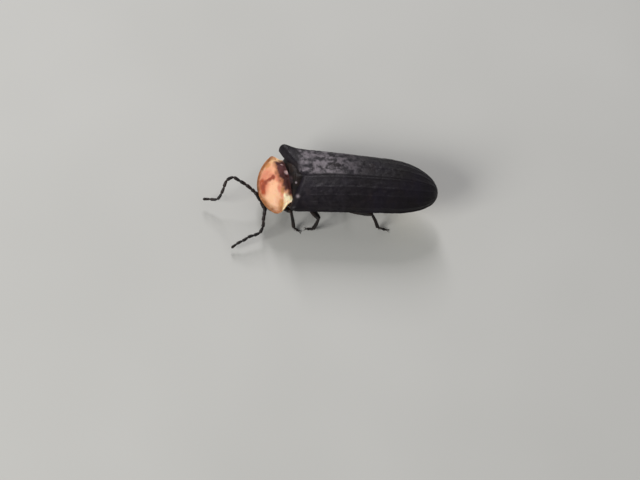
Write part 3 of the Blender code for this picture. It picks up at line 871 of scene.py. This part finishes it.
def feelerRadius(s):
    # how far along its joint this share of the feeler lies
    left = s * sum(feeler["joints"])
    for length in feeler["joints"]:
        within = clamp(left / length)
        if left <= length:
            break
        left -= length
    thick = blend(feeler["radius"], feeler["tipRadius"], s)
    waist = 0.62 + 0.38 * rise(within, 0.0, 0.3)
    waist -= 0.34 * rise(within, 0.92, 1.0)
    swell = 0.9 + 0.16 * rise(within, 0.1, 0.85)
    end = 1.0 - 0.75 * rise(s, 0.985, 1.0)
    return thick * waist * swell * end


def makeFeeler(name, side, node):
    data = bmesh.new()
    sweep(data, feelerPlaces(side), feeler["steps"], 24, feelerRadius, 0.86)
    finishPiece(name, data, bodyBlack, "dark_body", node, smoothAngle=60.0)


makeFeeler("feelerLeft", -1, "antenna_left")
makeFeeler("feelerRight", 1, "antenna_right")
print("feelers done")


# Body: one skin from the neck to the tail
# Each row is x, y, z, half width, height above z and depth below it
trunkRows = (
    (-6.15, -0.60, 2.10, 0.45, 0.26, 0.40),
    (-5.90, -0.50, 2.20, 0.95, 0.38, 0.70),
    (-5.55, -0.26, 2.32, 1.48, 0.50, 0.90),
    (-5.20, 0.36, 2.45, 2.10, 0.86, 0.88),
    (-4.90, 0.23, 2.55, 2.35, 1.10, 0.85),
    (-4.50, 0.04, 2.60, 2.20, 1.26, 0.88),
    (-4.00, 0.0, 2.70, 2.10, 1.16, 1.00),
    (-3.00, 0.0, 2.75, 2.00, 1.06, 1.10),
    (-1.50, 0.0, 2.75, 2.10, 1.10, 1.12),
    (0.0, 0.0, 2.75, 2.10, 1.10, 1.02),
    (1.0, 0.0, 2.80, 2.08, 1.05, 0.95),
    (3.0, 0.0, 2.78, 2.24, 1.00, 0.98),
    (4.6, 0.0, 2.76, 2.20, 0.92, 0.95),
    (5.8, 0.0, 2.72, 1.92, 0.78, 0.86),
    (6.6, 0.0, 2.60, 1.52, 0.50, 0.62),
    (7.0, 0.0, 2.48, 1.10, 0.30, 0.38),
    (7.2, 0.0, 2.40, 0.62, 0.14, 0.18),
    (7.26, 0.0, 2.38, 0.10, 0.03, 0.04),
)
# where one belly plate ends and the next starts
plateEnds = (-4.9, -2.6, 0.75, 1.75, 2.75, 3.75, 4.75, 5.75, 6.75)
skin = {
    "rings": 420,
    "sides": 72,
    "step": 0.045,
    "creamFrom": 4.75,
    "creamTo": 6.72,
    "roseFrom": 6.75,
}


def trunkAt(s):
    travel = s * (len(trunkRows) - 1)
    i = min(int(travel), len(trunkRows) - 2)
    before = trunkRows[max(i - 1, 0)]
    after = trunkRows[min(i + 2, len(trunkRows) - 1)]
    rows = zip(before, trunkRows[i], trunkRows[i + 1], after)
    return [curved(*values, travel - i) for values in rows]


def trunkShape(s, angle):
    x, y, z, half, up, down = trunkAt(s)
    out, rising = turned(angle, 2.3)
    # each plate stands out a little more towards its hind edge
    step = 0.0
    ends = [-6.4, *plateEnds, 7.6]
    for first, last in zip(ends, ends[1:]):
        if first <= x < last:
            within = (x - first) / (last - first)
            step = skin["step"] * (within - 0.5) * (1.0 - rise(within, 0.965, 1.0))
            step -= skin["step"] * 0.6 * rise(within, 0.965, 1.0)
    keel = 0.0
    if -4.2 < x < 0.7 and rising < 0:
        keel = -0.05 * bump(out, 0.0, 0.04)
    crease = -0.04 * bump(angle % (2 * pi), radians(200), 0.07)
    crease -= 0.04 * bump(angle % (2 * pi), radians(340), 0.07)
    grow = 1.0 + (step + keel + crease * (x > 0.7)) / max(half, 0.5) * 1.4
    height = up if rising > 0 else down
    spot = Vector((x, y + half * out * grow, z + height * rising * grow))
    return spot + Vector((0.0, 0.0, 0.008 * ripple(spot, 0.12, 6.0)))


def skinMarks(spot, normal):
    below = rise(3.0 - spot.z, -0.1, 0.15)
    cream = rise(spot.x, skin["creamFrom"] - 0.03, skin["creamFrom"] + 0.03)
    cream *= 1.0 - rise(spot.x, skin["creamTo"] - 0.02, skin["creamTo"] + 0.02)
    tail = rise(spot.x, skin["roseFrom"], skin["roseFrom"] + 0.06)
    neck = 1.0 - rise(spot.x, -5.7, -5.4)
    return {
        "cream": cream * below,
        "rose": tail * 0.9 + 0.8 * neck * below,
        "membrane": 0.8 * max(bump(spot.x, end, 0.05) for end in plateEnds) * below,
        # painted glints where the flecks reach the back
        "fleck": glintShare(spot) * (spot.z > 3.2),
        # painted sheen: a paler purple patch on the back, between the shield and the cases
        "plum": bump(spot.x, -5.0, 0.3) * bump(spot.y, -0.3, 0.7) * (spot.z > 3.0),
    }


def makeSkin():
    data = bmesh.new()
    barrel(data, skin["sides"], skin["rings"], trunkShape)
    nodes = ("prothorax", "thorax", "abdomen", "light_organ", "abdomen_tip")
    paint(finishPiece("bodySkin", data, skinMarked, "dark_body", *nodes), skinMarks)


makeSkin()


# Small triangular plate in the notch between the cases
plateSizes = {
    "length": 0.95,
    "width": 1.15,
    "wall": 0.3,
}


def scutellumShape(s, t, depth):
    x = case["baseX"] - 0.62 + plateSizes["length"] * s
    y = (t - 0.5) * plateSizes["width"] * blend(1.0, 0.22, s ** 1.3)
    z = case["edgeZ"] + case["baseDome"] - 0.02 + 0.1 * s - 0.12 * (2 * t - 1) ** 2
    z -= 0.3 * (1.0 - rise(s, 0.0, 0.3)) + 0.05 * bump(s, 0.33, 0.04)
    z += 0.02 * ripple((x, y, 0), 0.2, 8.0)
    return (x, y, z - plateSizes["wall"] * depth)


finishPiece("scutellumPlate", slab(24, 24, scutellumShape), bodyBlack, "dark_body", "scutellum")
print("body done")


# Legs: hip, knee, ankle and toe of each, in the body's millimetres
legs = {
    "leg_front_left": ((-5.1, -1.4, 1.2), (-4.71, -2.5, 2.3), (-4.11, -2.75, 0.34), (-3.7, -2.95, 0.2)),
    "leg_middle_left": (
        (-2.9, -1.2, 1.2), (-2.23, -2.7, 1.75), (-2.44, -2.75, 0.34), (-3.0, -2.72, 0.2)
    ),
    "leg_hind_left": ((0.1, -1.2, 1.2), (2.49, -1.85, 1.65), (3.2, -2.2, 0.34), (3.95, -2.32, 0.2)),
    "leg_front_right": ((-5.6, 1.05, 1.3), (-5.4, 2.35, 1.85), (-5.5, 2.85, 0.34), (-6.1, 3.0, 0.2)),
    "leg_middle_right": ((-2.7, 1.2, 1.2), (-2.1, 2.75, 1.75), (-1.9, 3.2, 0.34), (-1.5, 3.9, 0.2)),
    "leg_hind_right": ((0.1, 1.2, 1.2), (2.0, 2.45, 1.65), (2.6, 2.9, 0.34), (3.3, 3.4, 0.2)),
}
leg = {
    "hip": 0.34,
    "ring": 0.2,
    "thigh": 0.27,
    "shin": 0.15,
    "spur": 0.035,
    "foot": 0.12,
    "footJoints": (1.5, 1.0, 0.85, 0.7, 1.25),
    "ankleZ": 0.22,
    "claw": 0.04,
    "inward": 0.6,          # how far the hip piece runs up into the body
}


def camelName(node):
    first, *rest = node.split("_")
    return first + "".join(word.capitalize() for word in rest)


def hipRadius(s):
    return leg["hip"] * blend(1.0, 0.72, s) * (1.0 - 0.55 * rise(s, 0.8, 1.0) ** 2)


def ringRadius(s):
    return leg["ring"] * (0.75 + 0.3 * sin(pi * s))


def thighRadius(s):
    swell = sin(pi * blend(0.12, 0.9, s)) ** 0.7
    return leg["thigh"] * (0.35 + 0.65 * swell) * (1.0 - 0.35 * rise(s, 0.94, 1.0))


def shinRadius(s):
    start = 0.7 + 0.3 * rise(s, 0.0, 0.12)
    return leg["shin"] * blend(0.85, 1.15, s) * start * (1.0 - 0.8 * rise(s, 0.9, 1.0) ** 2)


def makeLeg(node, places):
    hip, knee, ankle, toe = (Vector(p) for p in places)
    ankle.z = leg["ankleZ"]
    toe.z = leg["foot"] * 0.8
    side = -1 if hip.y < 0 else 1
    data = bmesh.new()
    root = hip + Vector((-0.15, -side * 0.8, leg["inward"]))
    sweep(data, [root, hip.lerp(root, 0.4), hip], 24, 24, hipRadius, 0.85)
    sweep(data, [hip.lerp(knee, share) for share in (-0.04, 0.14, 0.2)], 10, 20, ringRadius)
    sweep(data, [hip.lerp(knee, 0.1), hip.lerp(knee, 0.6), knee], 36, 24, thighRadius, 0.82)
    middle = knee.lerp(ankle, 0.5) + Vector((0.0, side * 0.06, 0.05))
    shin = sweep(data, [knee.lerp(hip, 0.03), middle, ankle], 40, 20, shinRadius, 0.9)
    ahead = (toe - ankle).normalized()
    beside = Vector((-ahead.y, ahead.x, 0.0)).normalized()

    def past(start, *steps):
        # places beyond a joint: how far ahead, to the side and up
        return [start + ahead * a + beside * b + upwards * c for a, b, c in steps]

    for fork in (-1, 1):
        # a short spur at the shin's end
        spur = past(shin[-1], (0.1, 0.1 * fork, -0.05), (0.22, 0.14 * fork, -0.1))
        sweep(data, [shin[-3], *spur], 8, 8, lambda s: blend(leg["spur"], 0.006, s))
    start = 0.0
    total = sum(leg["footJoints"])
    for number, length in enumerate(leg["footJoints"]):
        first = ankle.lerp(toe, start / total)
        last = ankle.lerp(toe, (start + length * 0.98) / total)
        start += length
        if number == 3:
            # the fourth joint is split into two lobes
            for fork in (-1, 1):
                end = last + beside * fork * 0.1 + ahead * 0.05
                lobe = [first, first.lerp(end, 0.5) + beside * fork * 0.03, end]
                sweep(data, lobe, 10, 14,
                      lambda s: leg["foot"] * 0.62 * sin(pi * blend(0.25, 0.93, s)), 0.8)
            continue

        def footRadius(s, number=number):
            grow = blend(0.6, 1.05, s) if number < 4 else 0.62 * blend(0.8, 1.1, s)
            return leg["foot"] * grow * sin(pi * blend(0.22, 0.86, s)) ** 0.5
        sweep(data, [first, first.lerp(last, 0.5), last], 10, 16, footRadius, 0.85)
    for fork in (-1, 1):
        side = 0.13 * fork
        claw = past(toe, (0.14, 0.08 * fork, 0.03), (0.26, side, -0.03), (0.28, side, -0.085))
        sweep(data, [toe, *claw], 14, 8, lambda s: leg["claw"] * blend(1.0, 0.12, s))
    for vertex in data.verts:
        vertex.co.z = max(vertex.co.z, 0.0)
    finishPiece(camelName(node), data, bodyBlack, "dark_body", node)


for node, places in legs.items():
    makeLeg(node, places)
print("legs done")


# Coats: fine hairs lying over the finished pieces, each a bent three-sided cone
def strandArray(name, count):
    # one mesh with the strand repeated on the spot
    strand = meshFrom("strand", ringedCone(3, 2, 0.15))
    piece = addObject(name, strand)
    array = piece.modifiers.new("array", "ARRAY")
    array.count = count
    array.use_relative_offset = False
    graph = bpy.context.evaluated_depsgraph_get()
    piece.data = bpy.data.meshes.new_from_object(piece.evaluated_get(graph))
    piece.modifiers.clear()
    piece.data.name = name
    corners = len(strand.vertices)
    bpy.data.meshes.remove(strand)
    return piece, corners


def readArray(items, key, width, kind=np.float32):
    values = np.empty(len(items) * width, kind)
    items.foreach_get(key, values)
    return values.reshape(-1, width) if width > 1 else values


def unit(vectors):
    return vectors / np.maximum(np.linalg.norm(vectors, axis=1, keepdims=True), 1e-12)


def boxUnwrap(spots, normals):
    # the skin laid out as the six sides of a box, side by side in one square
    low, high = spots.min(axis=0), spots.max(axis=0)
    share = (spots - low) / np.maximum(high - low, 1e-9)
    axis = np.abs(normals).argmax(axis=1)
    rows = np.arange(len(spots))
    facing = normals[rows, axis] > 0
    first, second = np.array(((1, 2), (0, 2), (0, 1)))[axis].T
    across = (axis + 0.02 + 0.96 * share[rows, first]) / 3
    along = (facing + 0.02 + 0.96 * share[rows, second]) / 2
    return np.stack((across, along), axis=1)


def makeCoat(name, skinPiece, look, flow, keep, seed):
    # flow gives each hair's direction and keep the share of hairs at each place
    chance = np.random.default_rng(seed)
    count = look["count"]
    faces = skinPiece.data.polygons
    centres = readArray(faces, "center", 3)
    faceNormals = readArray(faces, "normal", 3)
    areas = readArray(faces, "area", 1)
    bodySpots = (centres - np.array(home)) / mm
    weights = areas * keep(bodySpots, faceNormals)
    picked = chance.choice(len(centres), size=count, p=weights / weights.sum())
    normals = faceNormals[picked]
    ways = flow(bodySpots[picked])
    ways = unit(ways - normals * (ways * normals).sum(axis=1, keepdims=True))
    turn = chance.normal(0.0, look["stray"], (count, 1))
    beside = np.cross(normals, ways)
    ways = ways * np.cos(turn) + beside * np.sin(turn)
    beside = np.cross(normals, ways)
    shift = np.minimum(np.sqrt(areas[picked])[:, None], 0.04 * mm)
    roots = centres[picked] + ways * shift * chance.uniform(-0.5, 0.5, (count, 1))
    roots = roots + beside * shift * chance.uniform(-0.5, 0.5, (count, 1)) - normals * 0.01 * mm
    lift = np.radians(chance.uniform(*look["lift"], (count, 1)))
    lengths = chance.uniform(*look["length"], (count, 1)) * mm
    rods = ways * np.cos(lift) + normals * np.sin(lift)
    upright = np.cross(rods, beside)

    piece, corners = strandArray(name, count)
    mesh = piece.data
    shape = readArray(mesh.vertices, "co", 3).reshape(count, corners, 3)
    share = shape[:, :, 2:3] + 0.5
    spots = roots[:, None] + rods[:, None] * lengths[:, None] * share
    spots -= normals[:, None] * lengths[:, None] * look["droop"] * share ** 2
    rounds = beside[:, None] * shape[:, :, 0:1] + upright[:, None] * shape[:, :, 1:2]
    spots += rounds * look["radius"] * mm
    mesh.vertices.foreach_set("co", spots.astype(np.float32).ravel())
    mesh.update()

    unwrap = boxUnwrap(roots, normals)
    patch = np.stack((shape[:, :, 0], shape[:, :, 2] * 2.0), axis=2) * 0.0014
    places = (unwrap[:, None] + patch).reshape(-1, 2)
    layer = mesh.uv_layers.new(name="OFBake")
    loopCorners = readArray(mesh.loops, "vertex_index", 1, np.int32)
    layer.data.foreach_set("uv", places[loopCorners].astype(np.float32).ravel())

    # the hairs carry the masks of the skin below them, markings and painted light alike
    firstCorners = np.array([face.vertices[0] for face in faces], np.int32)[picked]
    for mask in skinPiece.data.attributes:
        if mask.data_type == "FLOAT" and mask.domain == "POINT":
            values = readArray(mask.data, "value", 1)[firstCorners]
            setMask(piece, mask.name, np.repeat(values, corners))
    mesh.shade_smooth()
    mesh.materials.clear()
    mesh.materials.append(look["finish"])
    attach(piece, "root")


def backwards(spots):
    return np.tile((1.0, 0.0, 0.0), (len(spots), 1))


def alongRoute(route):
    # each hair points as the nearest part of the route does
    places = np.array([tuple(p) for p in route])
    tangents = unit(np.gradient(places, axis=0))

    def flow(spots):
        nearest = [int(((places - spot) ** 2).sum(axis=1).argmin()) for spot in spots]
        return tangents[nearest]

    return flow


def everywhere(spots, normals):
    return (spots[:, 2] > 0.04).astype(float)


def skullOnly(spots, normals):
    # the mouth's parts stay bare
    inverse = np.array(headFrame.inverted())
    own = spots @ inverse[:3, :3].T + inverse[:3, 3]
    return ((own[:, 0] > -0.55) & (own[:, 2] > -0.3)).astype(float)


def caseOutside(spots, normals):
    away = normals[:, 1] * spots[:, 1] + normals[:, 2] * (spots[:, 2] - case["middleZ"])
    return (away > 0.3).astype(float)


def shieldOutside(spots, normals):
    up = np.array(foreFrame.to_3x3() @ upwards)
    return (normals @ up > 0.1).astype(float)


def bellySide(spots, normals):
    return ((spots[:, 2] < 3.0) & (spots[:, 0] > -4.8)).astype(float)


caseCoat = {
    "count": 9000,
    "length": (0.08, 0.14),
    "radius": 0.005,
    "lift": (8.0, 20.0),
    "droop": 0.12,
    "stray": 0.25,
    "slot": "case",
    "finish": caseBlack,
}
shieldCoat = {
    **caseCoat,
    "count": 5000,
    "length": (0.06, 0.11),
    "radius": 0.004,
    "slot": "shield",
    "finish": shieldPink,
}
limbCoat = {
    **caseCoat,
    "count": 1500,
    "length": (0.05, 0.09),
    "radius": 0.004,
    "lift": (15.0, 35.0),
    "slot": "dark_body",
    "finish": hairDark,
}
headCoat = {**limbCoat, "count": 700, "length": (0.035, 0.065), "radius": 0.0035}
bellyCoat = {
    **limbCoat,
    "count": 4000,
    "length": (0.08, 0.13),
    "lift": (8.0, 22.0),
    "finish": skinMarked,
}


def legRoute(places):
    joints = [Vector(p) for p in places]
    return [a.lerp(b, i / 12) for a, b in zip(joints, joints[1:]) for i in range(12)]


coats = [
    ("caseHairLeft", "wingCaseLeft", caseCoat, backwards, caseOutside),
    ("caseHairRight", "wingCaseRight", caseCoat, backwards, caseOutside),
    ("shieldHair", "shield", shieldCoat, backwards, shieldOutside),
    ("headHair", "headSkin", headCoat, backwards, skullOnly),
    ("bellyHair", "bodySkin", bellyCoat, backwards, bellySide),
]
for name, side in (("Left", -1), ("Right", 1)):
    flow = alongRoute(smoothRoute(feelerPlaces(side), feeler["steps"]))
    coats.append(("feelerHair" + name, "feeler" + name, limbCoat, flow, everywhere))
for node, places in legs.items():
    name = camelName(node)
    coats.append((name + "Hair", name, limbCoat, alongRoute(legRoute(places)), everywhere))
for seed, (name, skinName, look, flow, keep) in enumerate(coats, 1):
    makeCoat(name, bpy.data.objects[skinName], look, flow, keep, seed)
print("coats done")


# The plain pale floor
def makeFloor():
    data = bmesh.new()
    bmesh.ops.create_grid(data, x_segments=2, y_segments=2, size=3.0)
    floor = addObject("floor", meshFrom("floor", data))
    material, tree, shader = startMaterial("floorPale")
    cloud = rangeNode(noiseNode(tree, 40.0, 2.0), 0.3, 0.7)
    feed(shader.inputs["Base Color"], mixColour(cloud, (0.60, 0.61, 0.58), (0.64, 0.65, 0.62)))
    shader.inputs["Roughness"].default_value = 0.85
    floor.data.materials.append(material)


makeFloor()

# The camera looks down on the animal from its front left, tipped as the photo's was
view = {
    "azimuth": -20.0,
    "elevation": 55.0,
    "roll": 20.1,
    "mmAPixel": 0.085,
    "distance": 200.0,
    "width": 640,
    "height": 480,
    "tipPixel": (438.0, 191.5),
    "tipPlace": (8.0, 0.0, 3.0),
}


def makeCamera():
    turn, lift, roll = (radians(view[k]) for k in ("azimuth", "elevation", "roll"))
    levelRight = Vector((cos(turn), sin(turn), 0.0))
    levelUp = Vector((
        -sin(turn) * sin(lift), cos(turn) * sin(lift), cos(lift)
    ))
    right = levelRight * cos(roll) + levelUp * sin(roll)
    up = levelUp * cos(roll) - levelRight * sin(roll)
    back = right.cross(up)
    pixel = view["mmAPixel"] * mm
    across = (view["width"] / 2 - view["tipPixel"][0]) * pixel
    down = (view["height"] / 2 - view["tipPixel"][1]) * pixel
    target = place(view["tipPlace"]) + right * across - up * down
    lens = bpy.data.cameras.new("camera")
    lens.sensor_width = 36.0
    lens.lens = lens.sensor_width * view["distance"] / (view["width"] * view["mmAPixel"])
    lens.clip_start = 0.002
    lens.clip_end = 20.0
    camera = addObject("camera", lens)
    spot = Matrix.Translation(target + back * view["distance"] * mm)
    camera.matrix_world = spot @ Matrix((right, up, back)).transposed().to_4x4()
    bpy.context.scene.camera = camera


makeCamera()

# Soft lights: place and size in millimetres, power and colour
lamps = {
    "behind": ((-40.0, 220.0, 172.0), (45.0, 150.0), 0.38, (1.0, 0.96, 0.99)),
    "front": ((-230.0, -150.0, 140.0), (130.0, 110.0), 0.655, (1.0, 0.975, 0.95)),
}


def makeLights():
    for name, (spot, (wide, tall), power, colour) in lamps.items():
        lamp = bpy.data.lights.new(name, "AREA")
        lamp.shape = "RECTANGLE"
        lamp.size = wide * mm
        lamp.size_y = tall * mm
        lamp.energy = power
        lamp.color = colour
        light = addObject(name, lamp)
        light.location = place(spot)
        aim = place((-2.0, 0.0, 2.0)) - light.location
        light.rotation_euler = aim.to_track_quat("-Z", "Y").to_euler()
    world = bpy.data.worlds.new("softWorld")
    world.use_nodes = True
    sky = world.node_tree.nodes["Background"]
    sky.inputs["Color"].default_value = (0.92, 0.91, 0.93, 1.0)
    sky.inputs["Strength"].default_value = 0.26
    bpy.context.scene.world = world
    bpy.context.scene.view_settings.view_transform = "Standard"


makeLights()
print("stage done")
